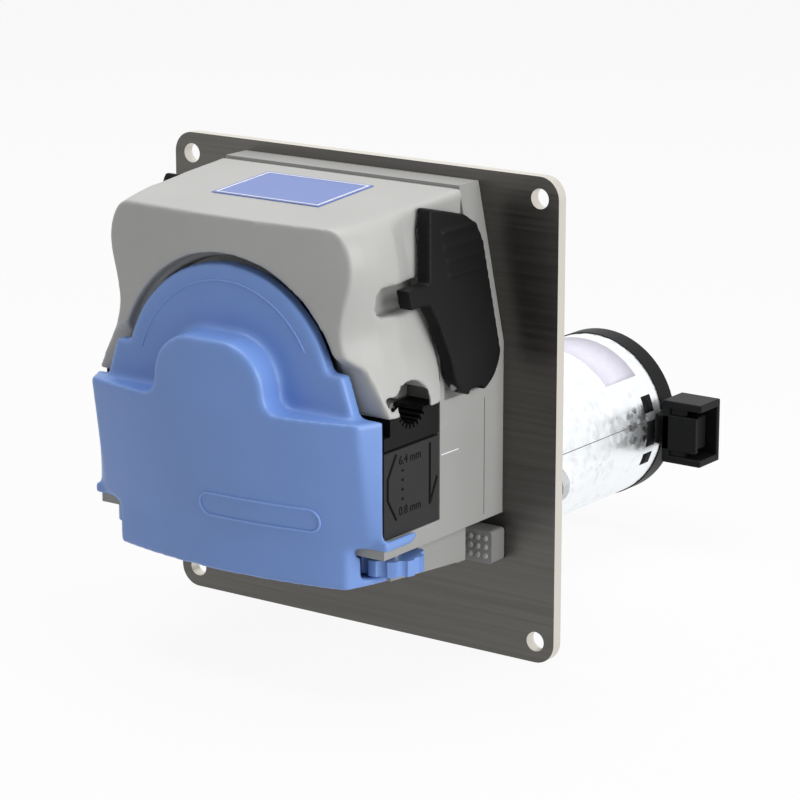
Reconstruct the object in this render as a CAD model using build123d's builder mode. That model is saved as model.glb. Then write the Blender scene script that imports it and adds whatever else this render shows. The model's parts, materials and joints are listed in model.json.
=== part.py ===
"""Panel-mounted peristaltic pump head with its gearbox and DC motor.

Millimetres, +Z up. The origin is the middle of the plate's back face, the face that seats on the
panel. The head stands forward of the plate, towards -Y, and the gearbox and motor behind it,
towards +Y. Depths of the head are counted forward from the plate's front face, and places behind
the plate from its back face.
"""
import os
from math import acos, cos, degrees, pi, radians, sin, sqrt, tan

from build123d import *

# ---- driving dimensions -------------------------------------------------------------------
# Plate
PLATE_W = 152.0
PLATE_H = 158.0
PLATE_T = 4.0
PLATE_CORNER_R = 7.0
BOLT_SPACING_X = 138.0
BOLT_SPACING_Z = 144.0
BOLT_HOLE_R = 3.25

# Axes
ROTOR_Z = 15.3  # height of the rotor axis
MOTOR_Z = -37.9  # height of the motor axis

# Clearances
SLIP = 0.3  # between neighbours that move past each other
SEAT = 0.1  # between pieces that are assembled and stay put
RUNNING = 0.05  # radial, between a shaft and its bore

# Housing
HOUSING_HALF_W = 56.0
HOUSING_TOP_HALF_W = 46.0
HOUSING_BOTTOM_Z = -31.0
SHOULDER_Z = 25.0  # where the side walls start to lean inwards
SPLIT_Z = 12.5  # where the track shell meets the base
REAR_TOP_Z = 75.3  # top of the rear housing, at the plate
REAR_T = 10.7  # thickness of the rear housing
HOUSING_DEPTH = 64.5  # front edge of the base

# Foot under the base
FOOT_HALF_W = 50.0
FOOT_BACK = 12.0
FOOT_FRONT = HOUSING_DEPTH - 11.8
FOOT_BACK_Z = -45.0
FOOT_FRONT_Z = -41.6

# Tube path and clamps
TUBE_DEPTH = HOUSING_DEPTH - 14.7  # depth of the tube's centre plane
TUBE_CHANNEL_R = 5.6
CLAMP_BACK = HOUSING_DEPTH - 29.5
CLAMP_SEAT_X = 44.6  # inner wall behind the clamp
CLAMP_FACE_X = 55.8
LEDGE_Z = -25.0
JAW_BOTTOM_Z = 3.2
JAW_NOTCH_R = 6.5
JAW_TEETH = 9
JAW_TOOTH_H = 1.3
SCALE_TOP_Z = 2.3
STEM_X = 51.5  # outer face of the jaw's stem
STEM_HALF_W = 7.5
STEM_BOTTOM_Z = -20.0

# Thumbwheels
WHEEL_X = 48.2
WHEEL_R = 10.3
WHEEL_T = 5.0
WHEEL_TOP_Z = -33.4
WHEEL_SCALLOPS = 10
SCALLOP_R = 2.2
CLAMP_SCREW_R = 2.0
CLAMP_SCREW_TOP_Z = -2.0
COLLAR_R = 3.3
COLLAR_T = 1.2

# Track shell
SHELL_DEPTH = HOUSING_DEPTH + 4.1
SHELL_SLOPE = 0.07  # fall of the top per millimetre forward
SHELL_OPENING_R = 43.2
SHELL_FACE_T = 4.0
SHELL_BOW = 2.5  # how far the middle of the front stands forward
SHELL_WALL = 3.0
SHELL_CORNER_X = 45.5
ARCH_R = 8.0
LATCH_SLOT_BOTTOM_Z = 42.4
LATCH_SLOT_H = 9.2
LATCH_SLOT_FRONT = HOUSING_DEPTH - 6.0

# Track and rotor
TRACK_R = 37.5
TRACK_T = 3.4
TRACK_W = 22.0
ORBIT_R = 25.5
ROLLER_R = 8.5
ROLLER_W = 15.0
ROLLERS = 4
ROLLER_PIN_R = 2.5
CARRIER_R = 31.0
CARRIER_T = 4.0
ROTOR_HUB_R = 12.0
ROTOR_WELL_R = 36.0
SHAFT_R = 5.0
BUSH_WALL = 3.0
SHAFT_BOSS_R = 15.0

# Guide rods for the shell
ROD_R = 2.0
ROD_X = 31.0
ROD_DEPTH = 23.0
ROD_BOTTOM_Z = -8.0
ROD_TOP_Z = 66.0
SLEEVE_R = 4.6
SLEEVE_BOTTOM_Z = 34.0

# Levers
LEVER_T = 5.0
LEVER_GAP = 0.4
LEVER_END_R = 13.3
LEVER_BACK = 9.4  # depth of the lever's back edge
LEVER_BOTTOM_Z = 13.3
LEVER_PIN_R = 1.2
LEVER_PIVOT_X = 58.2
LEVER_PIVOT_Z = 17.0
LEVER_HEEL_R = 4.6  # swept by the lever's lower end about its pin
LEVER_LUG_R = 2.0
LEVER_LUG_W = 7.0

# Front cover
DISC_R = 40.0
DISC_FACE = SHELL_DEPTH + 1.4
COVER_WALL = 2.5
SHELF_Z = 12.8
BOSS_HALF_W = 20.5
BOSS_TOP_Z = 34.0
BOSS_CORNER_R = 15.5
BOSS_ROOT_R = 5.0
PANEL_HALF_W = 52.2
PANEL_STEP_Z = -26.2
NECK_Z = -28.8
SKIRT_HALF_W = 45.0
SKIRT_BOTTOM_Z = -41.8

# Release catches
CATCH_HALF_SPAN = 57.0
CATCH_INNER_X = 46.3
CATCH_TOP_Z = -35.8
CATCH_H = 10.8
CATCH_T = 7.5
CATCH_TONGUE = 12.0

# Gear train: motor pinion - idler wheel, idler pinion - output gear
FAST_MODULE = 0.8
PINION_TEETH = 12
IDLER_WHEEL_TEETH = 50
SLOW_MODULE = 1.0
IDLER_PINION_TEETH = 15
OUTPUT_TEETH = 45
SLOW_STAGE = (22.0, 32.0)  # behind the plate
FAST_STAGE = (34.0, 42.0)
BACKLASH = 0.4
IDLER_PIN_R = 3.0

# Gearbox
GEARBOX_DEPTH = 50.0
GEARBOX_WALL = 3.0
GEARBOX_TOP_R = 29.5
GEARBOX_MOTOR_R = 33.0
GEARBOX_LID_T = 4.0

# Motor
MOTOR_R = 29.8
MOTOR_CAN_T = 1.8
MOTOR_FLANGE_T = 4.0
MOTOR_EAR_X = 38.0
MOTOR_EAR_R = 6.6
MOTOR_LENGTH = 88.6
END_CAP_T = 8.0
MOTOR_SHAFT_R = 2.5
MAGNET_T = 5.0
ARMATURE_R = 22.0
ARMATURE_L = 52.0
COMMUTATOR_R = 9.0
CONNECTOR_W = 15.0
CONNECTOR_H = 21.0
CONNECTOR_D = 12.0
BLADE_L = 2.4

# Screws
M4_R = 2.0

# ---- derived places -----------------------------------------------------------------------
FRONT_Y = -PLATE_T
WALL_SLOPE = (HOUSING_HALF_W - HOUSING_TOP_HALF_W) / (REAR_TOP_Z - SHOULDER_Z)
FLANGE_BACK = GEARBOX_DEPTH + GEARBOX_LID_T
CAN_BACK = FLANGE_BACK + MOTOR_FLANGE_T
CAP_BACK = CAN_BACK + MOTOR_LENGTH
LEVER_MID = LEVER_BACK + LEVER_END_R
LEVER_END_Z = LEVER_BOTTOM_Z + LEVER_END_R
HOUSING_SCREWS = [(-38, 58), (38, 58), (-46, -18), (46, -18)]
GEARBOX_SCREWS = [(-24, 32), (24, 32), (-29, -61), (29, -61)]
SIDES = (("left", -1), ("right", 1))


def fwd(depth):
    """Plane facing forward, at a depth in front of the plate."""
    return Plane.XZ.offset(PLATE_T + depth)


def aft(distance):
    """Plane facing backward, at a distance behind the plate."""
    return Plane((0, distance, 0), x_dir=(1, 0, 0), z_dir=(0, 1, 0))


def both_sides(points):
    """Closed outline from the points of its right half, listed from bottom to top."""
    return points + [(-x, z) for x, z in reversed(points)]


def wall_x(z, half_width=HOUSING_HALF_W):
    """Half-width of the head's side wall at a height."""
    return half_width - WALL_SLOPE * max(0.0, z - SHOULDER_Z)


def shell_top(depth):
    return REAR_TOP_Z - SHELL_SLOPE * depth


def save(piece, name):
    piece.part.label = name
    export_step(piece.part, f"parts/{name}.step")


os.makedirs("parts", exist_ok=True)

# ---- mounting plate -----------------------------------------------------------------------
with BuildPart() as mounting_plate:
    with BuildSketch(Plane.XZ):
        RectangleRounded(PLATE_W, PLATE_H, PLATE_CORNER_R)
        with GridLocations(BOLT_SPACING_X, BOLT_SPACING_Z, 2, 2):
            Circle(BOLT_HOLE_R, mode=Mode.SUBTRACT)
        with Locations((0, ROTOR_Z)):
            Circle(SHAFT_R + BUSH_WALL + 2, mode=Mode.SUBTRACT)
        with Locations(*HOUSING_SCREWS):
            Circle(M4_R + SEAT, mode=Mode.SUBTRACT)
    extrude(amount=PLATE_T)
    with BuildSketch(Plane.XZ):
        with Locations(*GEARBOX_SCREWS):
            Circle(M4_R + SEAT)
    extrude(amount=PLATE_T - 1, mode=Mode.SUBTRACT)
save(mounting_plate, "mounting_plate")

# ---- rear housing -------------------------------------------------------------------------
REAR_OUTLINE = [
    (HOUSING_HALF_W, HOUSING_BOTTOM_Z),
    (HOUSING_HALF_W, SHOULDER_Z),
    (HOUSING_TOP_HALF_W, REAR_TOP_Z),
]
CATCH_BOTTOM_Z = CATCH_TOP_Z - CATCH_H
CATCH_MID_Z = (CATCH_TOP_Z + CATCH_BOTTOM_Z) / 2
TONGUE_H = 5.0

with BuildPart() as rear_housing:
    with BuildSketch(fwd(0)):
        Polygon(*both_sides(REAR_OUTLINE), align=None)
        with Locations((0, HOUSING_BOTTOM_Z)):
            Rectangle(2 * (CATCH_INNER_X - SLIP), HOUSING_BOTTOM_Z - CATCH_BOTTOM_Z + 0.5,
                      align=(Align.CENTER, Align.MAX))
        with Locations((0, ROTOR_Z)):
            Circle(SHAFT_R + BUSH_WALL + SEAT / 5, mode=Mode.SUBTRACT)
    extrude(amount=REAR_T)
    with BuildSketch(Plane.YZ.offset(-HOUSING_HALF_W)):
        with Locations((FRONT_Y - CATCH_T / 2, CATCH_MID_Z)):
            Rectangle(3 + 2 * SLIP, TONGUE_H + 2 * SLIP)
    extrude(amount=HOUSING_HALF_W - CATCH_INNER_X + CATCH_TONGUE + SLIP, mode=Mode.SUBTRACT)
    with BuildSketch(Plane.YZ.offset(HOUSING_HALF_W)):
        with Locations((FRONT_Y - CATCH_T / 2, CATCH_MID_Z)):
            Rectangle(3 + 2 * SLIP, TONGUE_H + 2 * SLIP)
    extrude(amount=-(HOUSING_HALF_W - CATCH_INNER_X + CATCH_TONGUE + SLIP), mode=Mode.SUBTRACT)
    with Locations(*[(x, FRONT_Y, z) for x, z in HOUSING_SCREWS]):
        Cylinder(M4_R, 2 * 8, rotation=(90, 0, 0), mode=Mode.SUBTRACT)
save(rear_housing, "rear_housing")


for name, side in SIDES:
    with BuildPart() as catch:
        with BuildSketch(fwd(SLIP)):
            with Locations((side * (CATCH_INNER_X + CATCH_HALF_SPAN) / 2, CATCH_MID_Z)):
                Rectangle(CATCH_HALF_SPAN - CATCH_INNER_X, CATCH_H)
        extrude(amount=CATCH_T - SLIP)
        outer_edges = catch.edges().filter_by(Axis.Y).group_by(Axis.X)
        fillet(outer_edges[-1] if side > 0 else outer_edges[0], 1.2)
        with BuildSketch(fwd(CATCH_T / 2 - 1.5)):
            with Locations((side * (CATCH_INNER_X - CATCH_TONGUE / 2), CATCH_MID_Z)):
                Rectangle(CATCH_TONGUE, TONGUE_H)
        extrude(amount=3)
    save(catch, f"release_catch_{name}")

# ---- base housing -------------------------------------------------------------------------
CHEEK_TOP_Z = 66.0
CHEEK_INNER_X = 40.0
WHEEL_SLOT_R = WHEEL_R + 1.5
WHEEL_SLOT = (WHEEL_TOP_Z - WHEEL_T - 0.8, HOUSING_BOTTOM_Z)

with BuildPart() as base_housing:
    with BuildSketch(fwd(REAR_T)):  # block behind the clamps
        Polygon(*both_sides([(HOUSING_HALF_W, HOUSING_BOTTOM_Z), (HOUSING_HALF_W, SPLIT_Z)]), align=None)
    extrude(amount=CLAMP_BACK - REAR_T)
    with BuildSketch(fwd(CLAMP_BACK)):  # block between the clamps
        Polygon(*both_sides([(CLAMP_SEAT_X, HOUSING_BOTTOM_Z), (CLAMP_SEAT_X, SPLIT_Z)]), align=None)
    extrude(amount=HOUSING_DEPTH - CLAMP_BACK)
    with BuildSketch(fwd(CLAMP_BACK)):  # ledge under the clamps
        Polygon(*both_sides([(HOUSING_HALF_W, HOUSING_BOTTOM_Z), (HOUSING_HALF_W, LEDGE_Z)]), align=None)
    extrude(amount=HOUSING_DEPTH - CLAMP_BACK)
    with BuildSketch(Plane.YZ.offset(-FOOT_HALF_W)):  # foot
        Polygon(
            (FRONT_Y - FOOT_BACK, HOUSING_BOTTOM_Z + 1), (FRONT_Y - FOOT_FRONT, HOUSING_BOTTOM_Z + 1),
            (FRONT_Y - FOOT_FRONT, FOOT_FRONT_Z), (FRONT_Y - FOOT_BACK, FOOT_BACK_Z), align=None,
        )
    extrude(amount=2 * FOOT_HALF_W)
    for side in (-1, 1):  # cheeks that carry the levers
        with BuildSketch(fwd(REAR_T)):
            Polygon(
                (side * CHEEK_INNER_X, SPLIT_Z - 1), (side * HOUSING_HALF_W, SPLIT_Z - 1),
                (side * HOUSING_HALF_W, SHOULDER_Z), (side * wall_x(CHEEK_TOP_Z), CHEEK_TOP_Z),
                (side * CHEEK_INNER_X, CHEEK_TOP_Z), align=None,
            )
        extrude(amount=CLAMP_BACK - REAR_T)
    with BuildSketch(fwd(REAR_T)):  # boss round the drive shaft
        with Locations((0, ROTOR_Z)):
            Circle(SHAFT_BOSS_R)
    extrude(amount=CLAMP_BACK - REAR_T)
    with BuildSketch(fwd(REAR_T)):
        with Locations((0, ROTOR_Z)):
            Circle(SHAFT_R + BUSH_WALL + SEAT / 5)
    extrude(amount=CLAMP_BACK - REAR_T, mode=Mode.SUBTRACT)
    with BuildSketch(fwd(CLAMP_BACK)):  # well for the rotor
        with Locations((0, ROTOR_Z)):
            Circle(ROTOR_WELL_R)
    extrude(amount=HOUSING_DEPTH - CLAMP_BACK, mode=Mode.SUBTRACT)
    for side in (-1, 1):
        with Locations((side * LEVER_PIVOT_X, FRONT_Y - LEVER_MID, LEVER_PIVOT_Z)):
            Cylinder(LEVER_HEEL_R + SLIP, 20, rotation=(90, 0, 0), mode=Mode.SUBTRACT)
            Cylinder(LEVER_LUG_R, LEVER_LUG_W, rotation=(90, 0, 0))
            Box(8, LEVER_LUG_W, 2 * LEVER_LUG_R,
                align=(Align.MAX if side > 0 else Align.MIN, Align.CENTER, Align.CENTER))
            Cylinder(LEVER_PIN_R + RUNNING, 20, rotation=(90, 0, 0), mode=Mode.SUBTRACT)
        with Locations((side * 38, FRONT_Y - TUBE_DEPTH, ROTOR_Z)):
            Cylinder(TUBE_CHANNEL_R, 16, rotation=(0, 90, 0), mode=Mode.SUBTRACT)
        with Locations((side * WHEEL_X, FRONT_Y - TUBE_DEPTH, (WHEEL_SLOT[0] + WHEEL_SLOT[1]) / 2)):
            Cylinder(WHEEL_SLOT_R, WHEEL_SLOT[1] - WHEEL_SLOT[0], mode=Mode.SUBTRACT)
        with Locations((side * WHEEL_X, FRONT_Y - TUBE_DEPTH, LEDGE_Z)):
            Cylinder(CLAMP_SCREW_R + SLIP, 20, mode=Mode.SUBTRACT)
        with Locations((side * ROD_X, FRONT_Y - ROD_DEPTH, ROD_BOTTOM_Z)):
            Cylinder(ROD_R + SEAT / 5, 40, align=(Align.CENTER, Align.CENTER, Align.MIN), mode=Mode.SUBTRACT)
save(base_housing, "base_housing")

with BuildPart() as guide_rods:
    with Locations(*[(x, FRONT_Y - ROD_DEPTH, ROD_BOTTOM_Z + SEAT) for x in (-ROD_X, ROD_X)]):
        Cylinder(ROD_R, ROD_TOP_Z - ROD_BOTTOM_Z - SEAT, align=(Align.CENTER, Align.CENTER, Align.MIN))
save(guide_rods, "guide_rods")

# ---- track shell --------------------------------------------------------------------------
SHELL_BACK = REAR_T + SLIP
SHELL_BOTTOM_Z = SPLIT_Z + 0.2
POCKET_TOP_Z = CHEEK_TOP_Z + SLIP
JAW_TRAVEL = 5.6
JAW_TOP_Z = 13.0
JAW_NOSE_DEPTH = HOUSING_DEPTH - 3.5  # front of the jaw's raised part, behind the shell's lip
LIP_DEPTH = HOUSING_DEPTH - 1.7
LIP_TOP_Z = 27.0
TRACK_SEAT_R = TRACK_R + TRACK_T + SEAT
TRACK_BACK = TUBE_DEPTH - TRACK_W / 2


# Half-widths of the shell at five heights, then its shoulder and the edge of its flat top, by depth
SHELL_LEVELS = (SHELL_BOTTOM_Z, 24.0, 36.0, 48.0, 58.0)
SHELL_SECTIONS = {
    SHELL_BACK: ((56.0, 56.0, 53.8, 51.4, 49.4), (47.4, 70.5), 45.6),
    SHELL_DEPTH - 38.6: ((57.1, 56.1, 53.6, 51.2, 49.2), (47.2, 69.8), 45.0),
    SHELL_DEPTH - 26.6: ((57.7, 56.0, 52.1, 50.3, 48.5), (46.5, 68.4), 43.5),
    SHELL_DEPTH - 18.6: ((58.0, 55.4, 51.2, 51.5, 50.8), (48.8, 66.8), 42.3),
    SHELL_DEPTH - 10.6: ((58.2, 53.4, 48.9, 49.8, 50.3), (48.3, 66.0), 40.8),
    SHELL_DEPTH - 4.6: ((57.4, 51.2, 46.0, 47.3, 48.6), (46.9, 65.6), 39.0),
    SHELL_DEPTH + 4.6: ((53.6, 45.2, 40.6, 42.3, 44.6), (43.1, 65.0), 35.0),
}


def shell_section(depth, widths, shoulder, top_x):
    """Right half of the shell's front view at one depth, with a waisted side and a soft shoulder."""
    side = [*zip(widths, SHELL_LEVELS), shoulder, (top_x, shell_top(depth))]
    rise = (side[1][0] - side[0][0], side[1][1] - side[0][1])
    with BuildSketch(fwd(depth)) as section:
        with BuildLine():
            Spline(*side, tangents=(rise, (-1, 0)))
            Polyline(side[-1], (0, side[-1][1]), (0, side[0][1]), side[0])
        make_face()
    return section.sketch


with BuildPart() as track_shell:
    loft(sections=[shell_section(depth, *values) for depth, values in SHELL_SECTIONS.items()], ruled=True)
    mirror(about=Plane.YZ)
    with BuildSketch(Plane.XY):  # bowed front
        with BuildLine():
            Polyline(
                (-70, FRONT_Y - SHELL_DEPTH), (-70, FRONT_Y), (70, FRONT_Y), (70, FRONT_Y - SHELL_DEPTH),
                (SHELL_CORNER_X, FRONT_Y - SHELL_DEPTH),
            )
            ThreePointArc(
                (SHELL_CORNER_X, FRONT_Y - SHELL_DEPTH), (0, FRONT_Y - SHELL_DEPTH - SHELL_BOW),
                (-SHELL_CORNER_X, FRONT_Y - SHELL_DEPTH),
            )
            Line((-SHELL_CORNER_X, FRONT_Y - SHELL_DEPTH), (-70, FRONT_Y - SHELL_DEPTH))
        make_face()
    extrude(amount=REAR_TOP_Z + 5, mode=Mode.INTERSECT)
    with BuildSketch(Plane.YZ.offset(-70)):  # lower front corners, cut back beside the cover's shoulders
        Polygon(
            (FRONT_Y - 80, 0), (FRONT_Y - LIP_DEPTH, 0), (FRONT_Y - LIP_DEPTH, SHELL_BOTTOM_Z + 0.4),
            (FRONT_Y - HOUSING_DEPTH + SLIP, LIP_TOP_Z), (FRONT_Y - SHELL_DEPTH - 1, LIP_TOP_Z + 5),
            (FRONT_Y - 80, LIP_TOP_Z + 5), align=None,
        )
    extrude(amount=140, mode=Mode.SUBTRACT)
    for side in (-1, 1):  # room for the cheeks
        with BuildSketch(fwd(SHELL_BACK)):
            Polygon(
                (side * (CHEEK_INNER_X - SLIP), 0), (side * 70, 0), (side * 70, POCKET_TOP_Z),
                (side * (CHEEK_INNER_X - SLIP), POCKET_TOP_Z), align=None,
            )
        extrude(amount=CLAMP_BACK + SLIP - SHELL_BACK, mode=Mode.SUBTRACT)
    with BuildSketch(fwd(SHELL_BACK)):  # hollow back, round the shaft's boss
        Polygon(*both_sides([(CHEEK_INNER_X - SLIP, 0), (CHEEK_INNER_X - SLIP, POCKET_TOP_Z)]), align=None)
    extrude(amount=CLAMP_BACK - SHELL_WALL - SHELL_BACK, mode=Mode.SUBTRACT)
    with BuildSketch(fwd(SHELL_BACK)):
        with Locations((0, ROTOR_Z)):
            Circle(SHAFT_BOSS_R + SLIP)
        Polygon(*both_sides([(SHAFT_BOSS_R + SLIP, 0), (SHAFT_BOSS_R + SLIP, ROTOR_Z)]), align=None)
    extrude(amount=TUBE_DEPTH - SHELL_BACK, mode=Mode.SUBTRACT)
    with BuildSketch(fwd(CLAMP_BACK + 1)):  # seat of the track
        with Locations((0, ROTOR_Z)):
            Circle(TRACK_SEAT_R)
        Polygon(*both_sides([(TRACK_SEAT_R, 0), (TRACK_SEAT_R, ROTOR_Z)]), align=None)
    extrude(amount=SHELL_DEPTH - SHELL_FACE_T - CLAMP_BACK - 1, mode=Mode.SUBTRACT)
    with BuildSketch(fwd(SHELL_DEPTH - SHELL_FACE_T)):  # front opening
        with Locations((0, ROTOR_Z)):
            Circle(SHELL_OPENING_R)
        Polygon(*both_sides([(SHELL_OPENING_R, 0), (SHELL_OPENING_R, ROTOR_Z)]), align=None)
    extrude(amount=SHELL_FACE_T + 10, mode=Mode.SUBTRACT)
    for side in (-1, 1):
        with Locations((side * (CLAMP_SEAT_X - SLIP), FRONT_Y - CLAMP_BACK, 0)):  # room above the jaw
            Box(CLAMP_FACE_X - CLAMP_SEAT_X + 2 * SLIP, JAW_NOSE_DEPTH + SLIP - CLAMP_BACK,
                JAW_TOP_Z + JAW_TRAVEL + SLIP,
                align=(Align.MIN if side > 0 else Align.MAX, Align.MAX, Align.MIN), mode=Mode.SUBTRACT)
        with Locations((side * 50, FRONT_Y - TUBE_DEPTH, ROTOR_Z - 1)):  # arch over the tube
            Cylinder(ARCH_R, 24, rotation=(0, 90, 0), mode=Mode.SUBTRACT)
        with BuildSketch(Plane.YZ.offset(side * (CHEEK_INNER_X + 5))) as slot:  # for the lever's nose
            with Locations((FRONT_Y - LATCH_SLOT_FRONT, LATCH_SLOT_BOTTOM_Z + LATCH_SLOT_H / 2)):
                Rectangle(LATCH_SLOT_FRONT - CLAMP_BACK, LATCH_SLOT_H, align=(Align.MIN, Align.CENTER))
            fillet(slot.vertices().group_by(Axis.X)[0], LATCH_SLOT_H / 3)
        extrude(amount=side * 20, mode=Mode.SUBTRACT)
    for x in (-ROD_X, ROD_X):
        with Locations((x, FRONT_Y - ROD_DEPTH, SLEEVE_BOTTOM_Z)):
            Cylinder(SLEEVE_R, POCKET_TOP_Z - SLEEVE_BOTTOM_Z + 1,
                     align=(Align.CENTER, Align.CENTER, Align.MIN))
            Cylinder(ROD_R + RUNNING, ROD_TOP_Z - SLEEVE_BOTTOM_Z + 1,
                     align=(Align.CENTER, Align.CENTER, Align.MIN), mode=Mode.SUBTRACT)
save(track_shell, "track_shell")

with BuildPart() as track_bed:
    with BuildSketch(fwd(TRACK_BACK)):
        with Locations((0, ROTOR_Z)):
            Circle(TRACK_R + TRACK_T)
            Circle(TRACK_R, mode=Mode.SUBTRACT)
            Rectangle(120, 60, align=(Align.CENTER, Align.MAX), mode=Mode.SUBTRACT)
    extrude(amount=TRACK_W)
save(track_bed, "track_bed")

# ---- levers -------------------------------------------------------------------------------
NOSE_TIP = CLAMP_BACK + 17.0
NOSE_TOP_Z = LATCH_SLOT_BOTTOM_Z + LATCH_SLOT_H - 1.2
NOSE_BOTTOM_Z = LATCH_SLOT_BOTTOM_Z + 2.2
PIN_L = 17.0
LEVER_SWING = 110
LUG_SLOT_ANGLES = range(0, -LEVER_SWING - 1, -22)
GRIP_RIBS = 4
GRIP_PITCH = 4.3
GRIP_FIRST_Z = 51.5


def lever_face(z, offset):
    return wall_x(z) + LEVER_GAP + offset


for name, side in SIDES:
    with BuildPart() as lever:
        with BuildSketch(Plane.YZ.offset(side * CHEEK_INNER_X)):
            with BuildLine():
                Polyline(
                    (FRONT_Y - LEVER_BACK, LEVER_END_Z), (FRONT_Y - LEVER_BACK, 58.5),
                    (FRONT_Y - LEVER_BACK - 2.0, 64.5), (FRONT_Y - LEVER_BACK - 8.0, 68.2),
                    (FRONT_Y - CLAMP_BACK + 0.1, 72.6), (FRONT_Y - CLAMP_BACK - 6.0, NOSE_TOP_Z),
                    (FRONT_Y - NOSE_TIP, NOSE_TOP_Z), (FRONT_Y - NOSE_TIP, NOSE_BOTTOM_Z),
                    (FRONT_Y - CLAMP_BACK - 7.4, NOSE_BOTTOM_Z), (FRONT_Y - CLAMP_BACK - 4.3, 38.0),
                    (FRONT_Y - LEVER_BACK - 2 * LEVER_END_R, LEVER_END_Z),
                )
                ThreePointArc(
                    (FRONT_Y - LEVER_BACK - 2 * LEVER_END_R, LEVER_END_Z),
                    (FRONT_Y - LEVER_MID, LEVER_BOTTOM_Z), (FRONT_Y - LEVER_BACK, LEVER_END_Z),
                )
            make_face()
        extrude(amount=side * 25)
        with BuildSketch(fwd(0)):
            with BuildLine():
                Polyline(*[(side * x, z) for x, z in (
                    (lever_face(0, 0), 5), (lever_face(0, 0), SHOULDER_Z), (lever_face(80, 0), 80),
                    (lever_face(80, LEVER_T), 80), (lever_face(0, LEVER_T), SHOULDER_Z),
                    (lever_face(0, LEVER_T), 5), (lever_face(0, 0), 5),
                )])
            make_face()
        extrude(amount=70, mode=Mode.INTERSECT)
        with BuildSketch(fwd(0)):  # rounded heel
            with Locations((side * LEVER_PIVOT_X, LEVER_PIVOT_Z)):
                Rectangle(30, 30, align=(Align.CENTER, Align.MAX))
                Circle(LEVER_HEEL_R, mode=Mode.SUBTRACT)
        extrude(amount=70, mode=Mode.SUBTRACT)
        with Locations((side * LEVER_PIVOT_X, FRONT_Y - LEVER_MID, LEVER_PIVOT_Z)):  # slot for the lug
            Cylinder(LEVER_LUG_R + SLIP, LEVER_LUG_W + 2 * SLIP, rotation=(90, 0, 0), mode=Mode.SUBTRACT)
            for angle in LUG_SLOT_ANGLES:
                Box(12, LEVER_LUG_W + 2 * SLIP, 2 * (LEVER_LUG_R + SLIP), rotation=(0, side * angle, 0),
                    align=(Align.MAX if side > 0 else Align.MIN, Align.CENTER, Align.CENTER),
                    mode=Mode.SUBTRACT)
        with Locations((side * LEVER_PIVOT_X, FRONT_Y - LEVER_MID, LEVER_PIVOT_Z)):
            Cylinder(LEVER_PIN_R + SEAT / 5, 30, rotation=(90, 0, 0), mode=Mode.SUBTRACT)
        with Locations(*[
            (side * lever_face(z, LEVER_T), FRONT_Y - LEVER_MID + 0.7, z)
            for z in [GRIP_FIRST_Z + i * GRIP_PITCH for i in range(GRIP_RIBS)]
        ]):
            Box(1.2, 17, 1.0)
    save(lever, f"lever_{name}")
    with BuildPart() as lever_pin:
        with Locations((side * LEVER_PIVOT_X, FRONT_Y - LEVER_MID, LEVER_PIVOT_Z)):
            Cylinder(LEVER_PIN_R, PIN_L, rotation=(90, 0, 0))
    save(lever_pin, f"lever_pin_{name}")

# ---- tube clamps --------------------------------------------------------------------------
JAW_INNER_X = CLAMP_SEAT_X + SLIP
CLAMP_DEPTH_MID = (CLAMP_BACK + HOUSING_DEPTH) / 2
CLAMP_W = HOUSING_DEPTH - CLAMP_BACK - 2 * SLIP

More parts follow.
